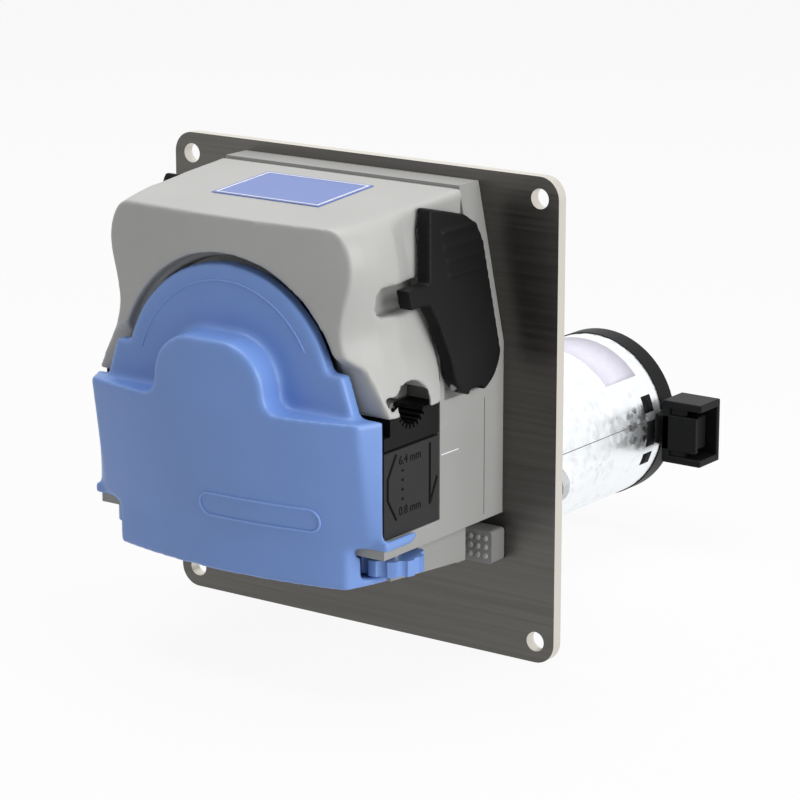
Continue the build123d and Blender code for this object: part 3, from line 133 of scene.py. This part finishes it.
def emboss(tree, shader, factor, strength, distance):
    """Fine relief, distance in metres."""
    bump = tree.nodes.new("ShaderNodeBump")
    bump.inputs["Strength"].default_value = strength
    bump.inputs["Distance"].default_value = distance
    tree.links.new(factor, bump.inputs["Height"])
    tree.links.new(bump.outputs["Normal"], shader.inputs["Normal"])


def moulded(name, colour, roughness, grain, spread=0.04):
    """Injection-moulded plastic: faint flow clouds and a fine spark-eroded grain."""
    material, tree, shader = new_material(name, roughness)
    clouds = texture(tree, "ShaderNodeTexNoise", 28, Detail=3)
    tint(tree, shader, colour, clouds.outputs["Fac"], spread)
    roughen(tree, shader, clouds.outputs["Fac"], roughness - 0.05, roughness + 0.06)
    fine = texture(tree, "ShaderNodeTexNoise", 2600, Detail=2)
    emboss(tree, shader, fine.outputs["Fac"], grain, 0.0001)
    return material


def brushed(name, colour, roughness, along):
    """Metal with a brushed grain along one axis."""
    material, tree, shader = new_material(name, roughness, 1.0)
    stretch = [0.02 if axis == along else 1 for axis in range(3)]
    grain = texture(tree, "ShaderNodeTexNoise", 900, stretch, Detail=4)
    tint(tree, shader, colour, grain.outputs["Fac"], 0.10)
    roughen(tree, shader, grain.outputs["Fac"], roughness - 0.06, roughness + 0.10)
    emboss(tree, shader, grain.outputs["Fac"], 0.12, 0.00005)
    return material


def spangled(name, colour):
    """Galvanised sheet with its crystalline spangle."""
    material, tree, shader = new_material(name, 0.35, 1.0)
    cells = texture(tree, "ShaderNodeTexVoronoi", 420)
    clouds = texture(tree, "ShaderNodeTexNoise", 60, Detail=4)
    mix = tree.nodes.new("ShaderNodeMath")
    mix.operation = "MULTIPLY_ADD"
    mix.inputs[1].default_value = 0.5
    tree.links.new(cells.outputs["Color"], mix.inputs[0])
    tree.links.new(clouds.outputs["Fac"], mix.inputs[2])
    tint(tree, shader, colour, mix.outputs["Value"], 0.10)
    roughen(tree, shader, cells.outputs["Color"], 0.24, 0.5)
    return material


def cast_metal(name, colour):
    """Die-cast metal with a sandy skin."""
    material, tree, shader = new_material(name, 0.5, 1.0)
    sand = texture(tree, "ShaderNodeTexNoise", 700, Detail=5)
    tint(tree, shader, colour, sand.outputs["Fac"], 0.12)
    emboss(tree, shader, sand.outputs["Fac"], 0.5, 0.0002)
    return material


def printed(name, colour, roughness):
    """Printed film or paper with a faint fibre."""
    material, tree, shader = new_material(name, roughness)
    fibre = texture(tree, "ShaderNodeTexNoise", 300, Detail=4)
    tint(tree, shader, colour, fibre.outputs["Fac"], 0.03)
    return material


def paint_edge_highlight(material, colour):
    """Painted highlight: a brighter colour on the sides of a plate whose faces look along Y, while the
    faces keep their darker colour.
    """
    tree = material.node_tree
    shader = tree.nodes["Principled BSDF"]
    place = tree.nodes.new("ShaderNodeTexCoord")
    parts = tree.nodes.new("ShaderNodeSeparateXYZ")
    facing = tree.nodes.new("ShaderNodeMath")
    facing.operation = "ABSOLUTE"
    mix = tree.nodes.new("ShaderNodeMix")
    mix.data_type = "RGBA"
    mix.inputs["A"].default_value = (*colour, 1)
    face_colour = shader.inputs["Base Color"].links[0].from_socket
    tree.links.new(place.outputs["Normal"], parts.inputs["Vector"])
    tree.links.new(parts.outputs["Y"], facing.inputs[0])
    tree.links.new(facing.outputs["Value"], mix.inputs["Factor"])
    tree.links.new(face_colour, mix.inputs["B"])
    tree.links.new(mix.outputs["Result"], shader.inputs["Base Color"])
    return material


finishes = {
    "grey_plastic": moulded("grey_plastic", GREY, 0.42, 0.10),
    "blue_plastic": moulded("blue_plastic", BLUE, 0.38, 0.06),
    "black_plastic": moulded("black_plastic", BLACK, 0.42, 0.16, 0.15),
    "track_plastic": moulded("track_plastic", NATURAL, 0.4, 0.08),
    "roller_plastic": moulded("roller_plastic", NATURAL, 0.3, 0.04),
    # The stainless plate carries a painted dark reflection on its faces and a painted highlight on its
    # sides
    "stainless_plate": paint_edge_highlight(brushed("stainless_plate", STAINLESS_PAINTED_DARK, 0.34, 0), EDGE_PAINTED_HIGHLIGHT),
    "steel": brushed("steel", STEEL, 0.28, 1),
    "galvanised_steel": spangled("galvanised_steel", GALVANISED),
    "cast_aluminium": cast_metal("cast_aluminium", CAST),
    "brass": brushed("brass", BRASS, 0.3, 1),
    "ferrite": moulded("ferrite", FERRITE, 0.6, 0.3),
    "label": printed("label", LABEL_BLUE, 0.3),
    "paper": printed("paper", PAPER, 0.5),
    "white_ink": printed("white_ink", WHITE, 0.4),
    "scale_grey": moulded("scale_grey", SCALE_GREY, 0.5, 0.12, 0.1),
    "ink": printed("ink", INK, 0.6),
    # Painted shade: darker grey copies of the plastic for the housings, the catches and their grip pips
    "painted_shade_grey": moulded("painted_shade_grey", BASE_GREY_PAINTED_SHADE, 0.45, 0.10),
    "painted_shade_catch_grey": moulded("painted_shade_catch_grey", CATCH_GREY_PAINTED_SHADE, 0.5, 0.10),
    "bead_blue": moulded("bead_blue", BEAD_BLUE, 0.36, 0.04),
    "shadow_grey": moulded("shadow_grey", SHADOW_GREY, 0.5, 0.05),
}
DULL_SPECULAR = 0.10
for name in ("black_plastic", "scale_grey", "ink"):
    shader = finishes[name].node_tree.nodes["Principled BSDF"]
    shader.inputs["Specular IOR Level"].default_value = DULL_SPECULAR

# ---- finish of each CAD node --------------------------------------------------------------
# Nodes whose colour differs from that of their material slot: the scale plates' own dark grey, and darker
# grey copies of the plastic as painted shade on the housings and the catches
SHADES = {
    "scale_plate_left": "scale_grey", "scale_plate_right": "scale_grey", "base_housing": "painted_shade_grey",
    "rear_housing": "painted_shade_grey", "release_catch_left": "painted_shade_catch_grey", "release_catch_right": "painted_shade_catch_grey",
}
slots = {part["node"]: part["material_slot"] for part in frame["record"]["subparts"]}
for name, obj in nodes.items():
    obj.data.materials.clear()
    obj.data.materials.append(finishes[SHADES.get(name, slots[name])])

# ---- camera -------------------------------------------------------------------------------
# The camera aims at the middle of the plate's front face, moved a little sideways and down
AZIMUTH, ELEVATION = radians(35.493), radians(14.574)
DISTANCE, OFFSET_X, OFFSET_Z = 1.05902, 0.01297, -0.00247
PLATE_T = 0.004
LENS, SENSOR = 146.08, 36.0

back = Vector((sin(AZIMUTH) * cos(ELEVATION), -cos(AZIMUTH) * cos(ELEVATION), sin(ELEVATION)))
right = Vector((cos(AZIMUTH), sin(AZIMUTH), 0))
up = back.cross(right)
place = back * DISTANCE + right * OFFSET_X + up * OFFSET_Z + Vector((0, -PLATE_T, 0))
camera_data = bpy.data.cameras.new("camera")
camera_data.lens = LENS
camera_data.sensor_width = SENSOR
camera_data.clip_end = 20
camera = bpy.data.objects.new("camera", camera_data)
camera.matrix_world = Matrix((
    (right.x, up.x, back.x, place.x), (right.y, up.y, back.y, place.y),
    (right.z, up.z, back.z, place.z), (0, 0, 0, 1),
))
bpy.context.scene.collection.objects.link(camera)
bpy.context.scene.camera = camera


# ---- floor and light ----------------------------------------------------------------------
def backdrop_rays(tree):
    """1 for camera, glossy and transmission rays, 0 for light on the object."""
    rays = tree.nodes.new("ShaderNodeLightPath")
    seen = rays.outputs["Is Camera Ray"]
    for kind in ("Is Glossy Ray", "Is Transmission Ray"):
        either = tree.nodes.new("ShaderNodeMath")
        either.operation = "MAXIMUM"
        tree.links.new(seen, either.inputs[0])
        tree.links.new(rays.outputs[kind], either.inputs[1])
        seen = either.outputs["Value"]
    return seen


FLOOR_SIZE, FLOOR_GAP = 12, 0.0005
FLOOR_GREY, FLOOR_GLOW = 0.72, 0.92
LIGHT_SHARE = 0.13
bottom = cad_box[0][2]
bpy.ops.mesh.primitive_plane_add(size=FLOOR_SIZE, location=(0, 0, bottom - FLOOR_GAP))
floor = bpy.context.object
floor.name = "floor"
material, tree, shader = new_material("floor", 0.9)
shader.inputs["Base Color"].default_value = (FLOOR_GREY, FLOOR_GREY, FLOOR_GREY, 1)
glow = tree.nodes.new("ShaderNodeEmission")
glow.inputs["Color"].default_value = (1, 1, 1, 1)
blend = tree.nodes.new("ShaderNodeMixShader")
share = tree.nodes.new("ShaderNodeMath")
share.operation = "MULTIPLY"
share.inputs[1].default_value = FLOOR_GLOW
tree.links.new(backdrop_rays(tree), share.inputs[0])
tree.links.new(share.outputs["Value"], blend.inputs["Fac"])
tree.links.new(shader.outputs["BSDF"], blend.inputs[1])
tree.links.new(glow.outputs["Emission"], blend.inputs[2])
tree.links.new(blend.outputs["Shader"], tree.nodes["Material Output"].inputs["Surface"])
floor.data.materials.append(material)

world = bpy.data.worlds.new("studio")
world.use_nodes = True
bpy.context.scene.world = world
tree = world.node_tree
background = tree.nodes["Background"]
strength = tree.nodes.new("ShaderNodeMapRange")
strength.inputs["To Min"].default_value = LIGHT_SHARE
strength.inputs["To Max"].default_value = 1.0
background.inputs["Color"].default_value = (1, 1, 1, 1)
tree.links.new(backdrop_rays(tree), strength.inputs["Value"])
tree.links.new(strength.outputs["Result"], background.inputs["Strength"])


def softbox(name, at, size, power):
    """A rectangular lamp that faces the origin."""
    light = bpy.data.lights.new(name, "AREA")
    light.shape = "RECTANGLE"
    light.size, light.size_y = size
    light.energy = power
    lamp = bpy.data.objects.new(name, light)
    lamp.location = at
    lamp.rotation_euler = (-Vector(at)).to_track_quat("-Z", "Y").to_euler()
    bpy.context.scene.collection.objects.link(lamp)


softbox("top_light", (-0.1, 0.0, 1.1), (1.0, 1.0), 12.5)
softbox("right_light", (1.2, -0.1, 0.35), (0.8, 1.0), 13)
softbox("left_light", (-0.9, -0.9, 0.4), (0.7, 0.9), 1.1)
bpy.context.scene.view_settings.view_transform = "Standard"

# ---- edges --------------------------------------------------------------------------------
# Bevel widths in millimetres
SOFT = {
    "mounting_plate": 0.4, "rear_housing": 0.8, "base_housing": 0.5,
    "thumbwheel_left": 0.5, "thumbwheel_right": 0.5,
    "release_catch_left": 0.6, "release_catch_right": 0.6, "end_cap": 0.6, "motor_can": 0.3,
    "gearbox_case": 0.8, "gearbox_lid": 0.5, "motor_flange": 0.4,
    "tube_jaw_left": 0.2, "tube_jaw_right": 0.2, "scale_plate_left": 0.3, "scale_plate_right": 0.3,
}
# Moulded skins: grid size in millimetres and the smoothing passes that round every edge
MELTED = {
    "front_cover": (0.8, 18), "track_shell": (0.7, 6), "lever_left": (0.6, 4), "lever_right": (0.6, 4),
}
EDGE_ANGLE = radians(35)
EDGE_SEGMENTS = 3


def soften(obj, width):
    """Small rounded edges, as moulding and deburring leave them."""
    bevel = obj.modifiers.new("edges", "BEVEL")
    bevel.width = width
    bevel.segments = EDGE_SEGMENTS
    bevel.limit_method = "ANGLE"
    bevel.angle_limit = EDGE_ANGLE
    for polygon in obj.data.polygons:
        polygon.use_smooth = True


def melt(obj, grid, passes):
    """Even skin with softly rounded edges, as a moulded part has."""
    skin = obj.modifiers.new("skin", "REMESH")
    skin.mode = "VOXEL"
    skin.voxel_size = grid
    skin.use_smooth_shade = True
    smooth = obj.modifiers.new("rounding", "SMOOTH")
    smooth.factor = 0.5
    smooth.iterations = passes


for name, width in SOFT.items():
    soften(nodes[name], width * MM)
for name, (grid, passes) in MELTED.items():
    melt(nodes[name], grid * MM, passes)


# ---- trim ---------------------------------------------------------------------------------
RAY_START = 0.3
BOX_FACES = ((0, 1, 3, 2), (4, 6, 7, 5), (0, 4, 5, 1), (2, 3, 7, 6), (0, 2, 6, 4), (1, 5, 7, 3))


def dress(obj, finish, body):
    """Gives a new piece its place in the scene, material and body."""
    bpy.context.scene.collection.objects.link(obj)
    obj.data.materials.append(finishes[finish])
    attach(obj, body)
    return obj


def mesh_piece(name, points, faces, finish, body, smooth=False):
    """A mesh from points in millimetres."""
    mesh = bpy.data.meshes.new(name)
    mesh.from_pydata([[c * MM for c in point] for point in points], [], faces)
    mesh.polygons.foreach_set("use_smooth", [smooth] * len(faces))
    mesh.update()
    return dress(bpy.data.objects.new(name, mesh), finish, body)


def line(name, paths, radius, finish, body, closed=False):
    """Round beads along paths in millimetres."""
    curve = bpy.data.curves.new(name, "CURVE")
    curve.dimensions = "3D"
    curve.bevel_depth = radius * MM
    curve.bevel_resolution = 2
    curve.use_fill_caps = True
    for path in paths:
        spline = curve.splines.new("POLY")
        spline.points.add(len(path) - 1)
        for point, place in zip(spline.points, path):
            point.co = (*[c * MM for c in place], 1)
        spline.use_cyclic_u = closed
    dress(bpy.data.objects.new(name, curve), finish, body)


def cover_y(x, z):
    """Depth, in millimetres, of the cover's front there."""
    at = nodes["front_cover"].ray_cast(Vector((x * MM, -RAY_START, z * MM)), Vector((0, 1, 0)))[1]
    return at.y / MM


def label_z(x, y):
    """Height, in millimetres, of the top label there."""
    at = nodes["top_label"].ray_cast(Vector((x * MM, y * MM, RAY_START)), Vector((0, 0, -1)))[1]
    return at.z / MM


def solid(name, sides, finish, body, edge):
    """Boxes ((x, x), (y, y), (z, z)) in millimetres as one piece with rounded edges."""
    points, faces = [], []
    for xs, ys, zs in sides:
        first = len(points)
        points += [(x, y, z) for x in xs for y in ys for z in zs]
        faces += [[first + k for k in face] for face in BOX_FACES]
    obj = mesh_piece(name, points, faces, finish, body)
    bevel = obj.modifiers.new("edges", "BEVEL")
    bevel.width = edge * MM
    bevel.segments = EDGE_SEGMENTS
    return obj


def pips(name, centres, radius, height, finish, body):
    """Shallow domes standing out of a face that looks along -Y."""
    points, faces = [], []
    rings, around = 4, 16
    for cx, cy, cz in centres:
        first = len(points)
        for ring in range(rings):
            lean = pi / 2 * ring / rings
            for k in range(around):
                turn = 2 * pi * k / around
                reach = radius * cos(lean)
                points.append((cx + reach * cos(turn), cy - height * sin(lean), cz + reach * sin(turn)))
        points.append((cx, cy - height, cz))
        for ring in range(rings - 1):
            for k in range(around):
                a, b = first + ring * around + k, first + ring * around + (k + 1) % around
                faces.append((a, b, b + around, a + around))
        last = first + (rings - 1) * around
        faces += [(last + k, last + (k + 1) % around, len(points) - 1) for k in range(around)]
        faces.append([first + k for k in range(around)][::-1])
    mesh_piece(name, points, faces, finish, body, True)


def film(obj, thickness):
    """Thickness, in millimetres, for a sheet of faces."""
    sheet = obj.modifiers.new("film", "SOLIDIFY")
    sheet.thickness = thickness * MM
    return sheet


# Label on top of the shell: a plain field with a white keyline
KEY_INSET, KEY_W, KEY_RISE, KEY_T = 0.9, 0.55, 0.08, 0.1
near, far = (Vector(corner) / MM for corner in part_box("top_label"))
ring = []
for inset in (KEY_INSET, KEY_INSET + KEY_W):
    x0, y0, x1, y1 = near.x + inset, near.y + inset, far.x - inset, far.y - inset
    ring += [(x, y, label_z(x, y) + KEY_RISE) for x, y in ((x0, y0), (x1, y0), (x1, y1), (x0, y1))]
sides = [(k, (k + 1) % 4, 4 + (k + 1) % 4, 4 + k) for k in range(4)]
film(mesh_piece("label_keyline", ring, sides, "white_ink", "shell"), KEY_T)

# Outlined field on the cover, left bare
FIELD_X, FIELD_Z, FIELD_W, FIELD_H = 15.5, -20.0, 43.5, 7.4
STRAIGHT_STEPS, END_STEPS = 16, 16
BEAD_R, BEAD_RISE = 0.42, 0.12
end_r = FIELD_H / 2
half = FIELD_W / 2 - end_r
outline = []
for way in (1, -1):
    for k in range(1, STRAIGHT_STEPS):
        outline.append((FIELD_X + way * half * (1 - 2 * k / STRAIGHT_STEPS), FIELD_Z + way * end_r))
    for k in range(END_STEPS + 1):
        turn = pi * k / END_STEPS
        outline.append((FIELD_X - way * (half + end_r * sin(turn)), FIELD_Z + way * end_r * cos(turn)))
outline = [(x, cover_y(x, z) - BEAD_RISE, z) for x, z in outline]
line("cover_field_outline", [outline], BEAD_R, "bead_blue", "head", True)

# Fine line that runs round the cover's disc
DISC_Z, DISC_LINE_R, DISC_BEAD_R, DISC_BEAD_RISE = 15.3, 34.6, 0.26, 0.05
arc = []
for degree in range(28, 168, 4):
    x, z = DISC_LINE_R * cos(radians(degree)), DISC_Z + DISC_LINE_R * sin(radians(degree))
    arc.append((x, cover_y(x, z) - DISC_BEAD_RISE, z))
line("disc_line", [arc], DISC_BEAD_R, "bead_blue", "head")

# Scale marks on the tube clamps, as (y, z) in millimetres
SCALE_X, MARK_RISE, MARK_R, DOT_HALF = 55.8, 0.02, 0.42, 0.3
FRONT_BRACKET = ((-62.0, 1.0), (-66.4, -6.0), (-66.4, -12.5), (-62.0, -19.5))
REAR_LINE = ((-44.2, 1.0), (-44.2, -18.5))
REAR_SLANT = ((-44.2, -18.5), (-40.3, -10.5))
DOT_Y, DOTS_Z = -58.6, (-4.6, -7.6, -10.6, -13.6)
DOTS = tuple(((DOT_Y, z - DOT_HALF), (DOT_Y, z + DOT_HALF)) for z in DOTS_Z)
NUMBERS = (("6.4 mm", -2.6), ("0.8 mm", -18.6))
NUMBER_SIZE, NUMBER_DEPTH = 3.9, 0.12
NUMBER_START = {-1: -46.2, 1: -60.6}

# Lines on the base's side, and the grip pips of the catches
WALL_X = 56.0
PARTING_Y, PARTING_Z = -14.6, (-29, -10, 9)
INDEX_Z, INDEX_Y = -4.4, (-38.4, -29.1)
GRIP_X, GRIP_Y, GRIP_Z, GRIP_PITCH = 45.9, -11.45, -38.2, 2.9
GRIP_COLUMNS, GRIP_ROWS, GRIP_R, GRIP_H = 4, 3, 1.05, 0.55

for name, side in (("left", -1), ("right", 1)):
    face, wall = side * (SCALE_X + MARK_RISE), side * WALL_X
    marks = [[(face, y, z) for y, z in path] for path in (FRONT_BRACKET, REAR_LINE, REAR_SLANT, *DOTS)]
    line(f"scale_marks_{name}", marks, MARK_R, "ink", "head")
    for words, z in NUMBERS:
        text = bpy.data.curves.new(f"scale_{name}_{words[0]}", "FONT")
        text.body = words
        text.size = NUMBER_SIZE * MM
        text.extrude = NUMBER_DEPTH * MM
        written = bpy.data.objects.new(text.name, text)
        written.matrix_world = Matrix((
            (0, 0, side, side * SCALE_X * MM), (side, 0, 0, NUMBER_START[side] * MM),
            (0, 1, 0, z * MM), (0, 0, 0, 1),
        ))
        dress(written, "ink", "head")

    parting = [(wall, PARTING_Y, z) for z in PARTING_Z]
    line(f"parting_line_{name}", [parting], 0.16, "shadow_grey", "head")
    index = [(wall, y, INDEX_Z) for y in INDEX_Y]
    line(f"index_line_{name}", [index], 0.2, "white_ink", "head")
    grips = [
        (side * (GRIP_X + GRIP_PITCH * column), GRIP_Y, GRIP_Z - GRIP_PITCH * row)
        for column in range(GRIP_COLUMNS) for row in range(GRIP_ROWS)
    ]
    pips(f"catch_grip_{name}", grips, GRIP_R, GRIP_H, "painted_shade_grey", f"catch_{name}")

# Bare paper label wrapped on the motor, and dark sheets of painted shade where the slots at the can's
# rear edge open
MOTOR_Z, CAN_R = -37.9, 29.8
FILM_T = 0.12
CAN_SEAM_ANGLE, CAN_SEAM_Y, CAN_SEAM_R = 8, (60, 128), 0.14


def on_can(degree, y, rise):
    """A point on the motor's can, in millimetres, an angle above the horizontal on the right."""
    turn = radians(degree)
    return (CAN_R + rise) * cos(turn), y, MOTOR_Z + (CAN_R + rise) * sin(turn)


def wrap(name, ys, degrees, rise, finish):
    """A thin sheet wrapped on the motor's can."""
    points = [on_can(degree, y, rise) for degree in degrees for y in ys]
    faces = [(2 * k, 2 * k + 2, 2 * k + 3, 2 * k + 1) for k in range(len(degrees) - 1)]
    sheet = film(mesh_piece(name, points, faces, finish, "head", True), FILM_T)
    sheet.offset = 1


wrap("motor_label", (111.0, 131.0), range(40, 157, 3), 0.05, "paper")
# Painted shade: black sheets stand for the shaded openings of the can's slots
wrap("painted_slot_shade_upper", (127.6, 133.6), range(13, 26, 3), 0.02, "ink")
wrap("painted_slot_shade_middle", (128.2, 133.6), range(-11, 9, 3), 0.02, "ink")
wrap("painted_slot_shade_lower", (127.6, 133.6), range(-25, -14, 3), 0.02, "ink")
seam = [on_can(CAN_SEAM_ANGLE, y, 0.02) for y in CAN_SEAM_Y]
line("can_seam", [seam], CAN_SEAM_R, "shadow_grey", "head")

# Connector with its framed recess, standing clear of the can
CONNECTOR_EDGE = 0.5
walls = [
    ((33.0, 49.0), (132.6, 146.4), (-29.2, -26.4)),
    ((33.0, 49.0), (132.6, 146.4), (-49.2, -46.6)),
    ((33.0, 49.0), (144.4, 146.4), (-47.4, -28.4)),
    ((33.0, 47.0), (132.6, 134.8), (-44.6, -31.6)),
    ((33.0, 36.2), (132.6, 146.4), (-47.4, -28.4)),
]
tongue = ((36.0, 45.4), (137.4, 142.6), (-44.0, -32.0))
catches = [((36.0, 42.0), (133.4, 136.0), (-31.8, -28.8)), ((36.0, 42.0), (133.4, 136.0), (-47.0, -44.4))]
neck = ((25.6, 34.0), (134.8, 145.6), (-43.6, -32.4))
boxes = [*walls, tongue, *catches, neck]
connector = solid("connector_shell", boxes, "black_plastic", "head", CONNECTOR_EDGE)
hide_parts("connector_housing")
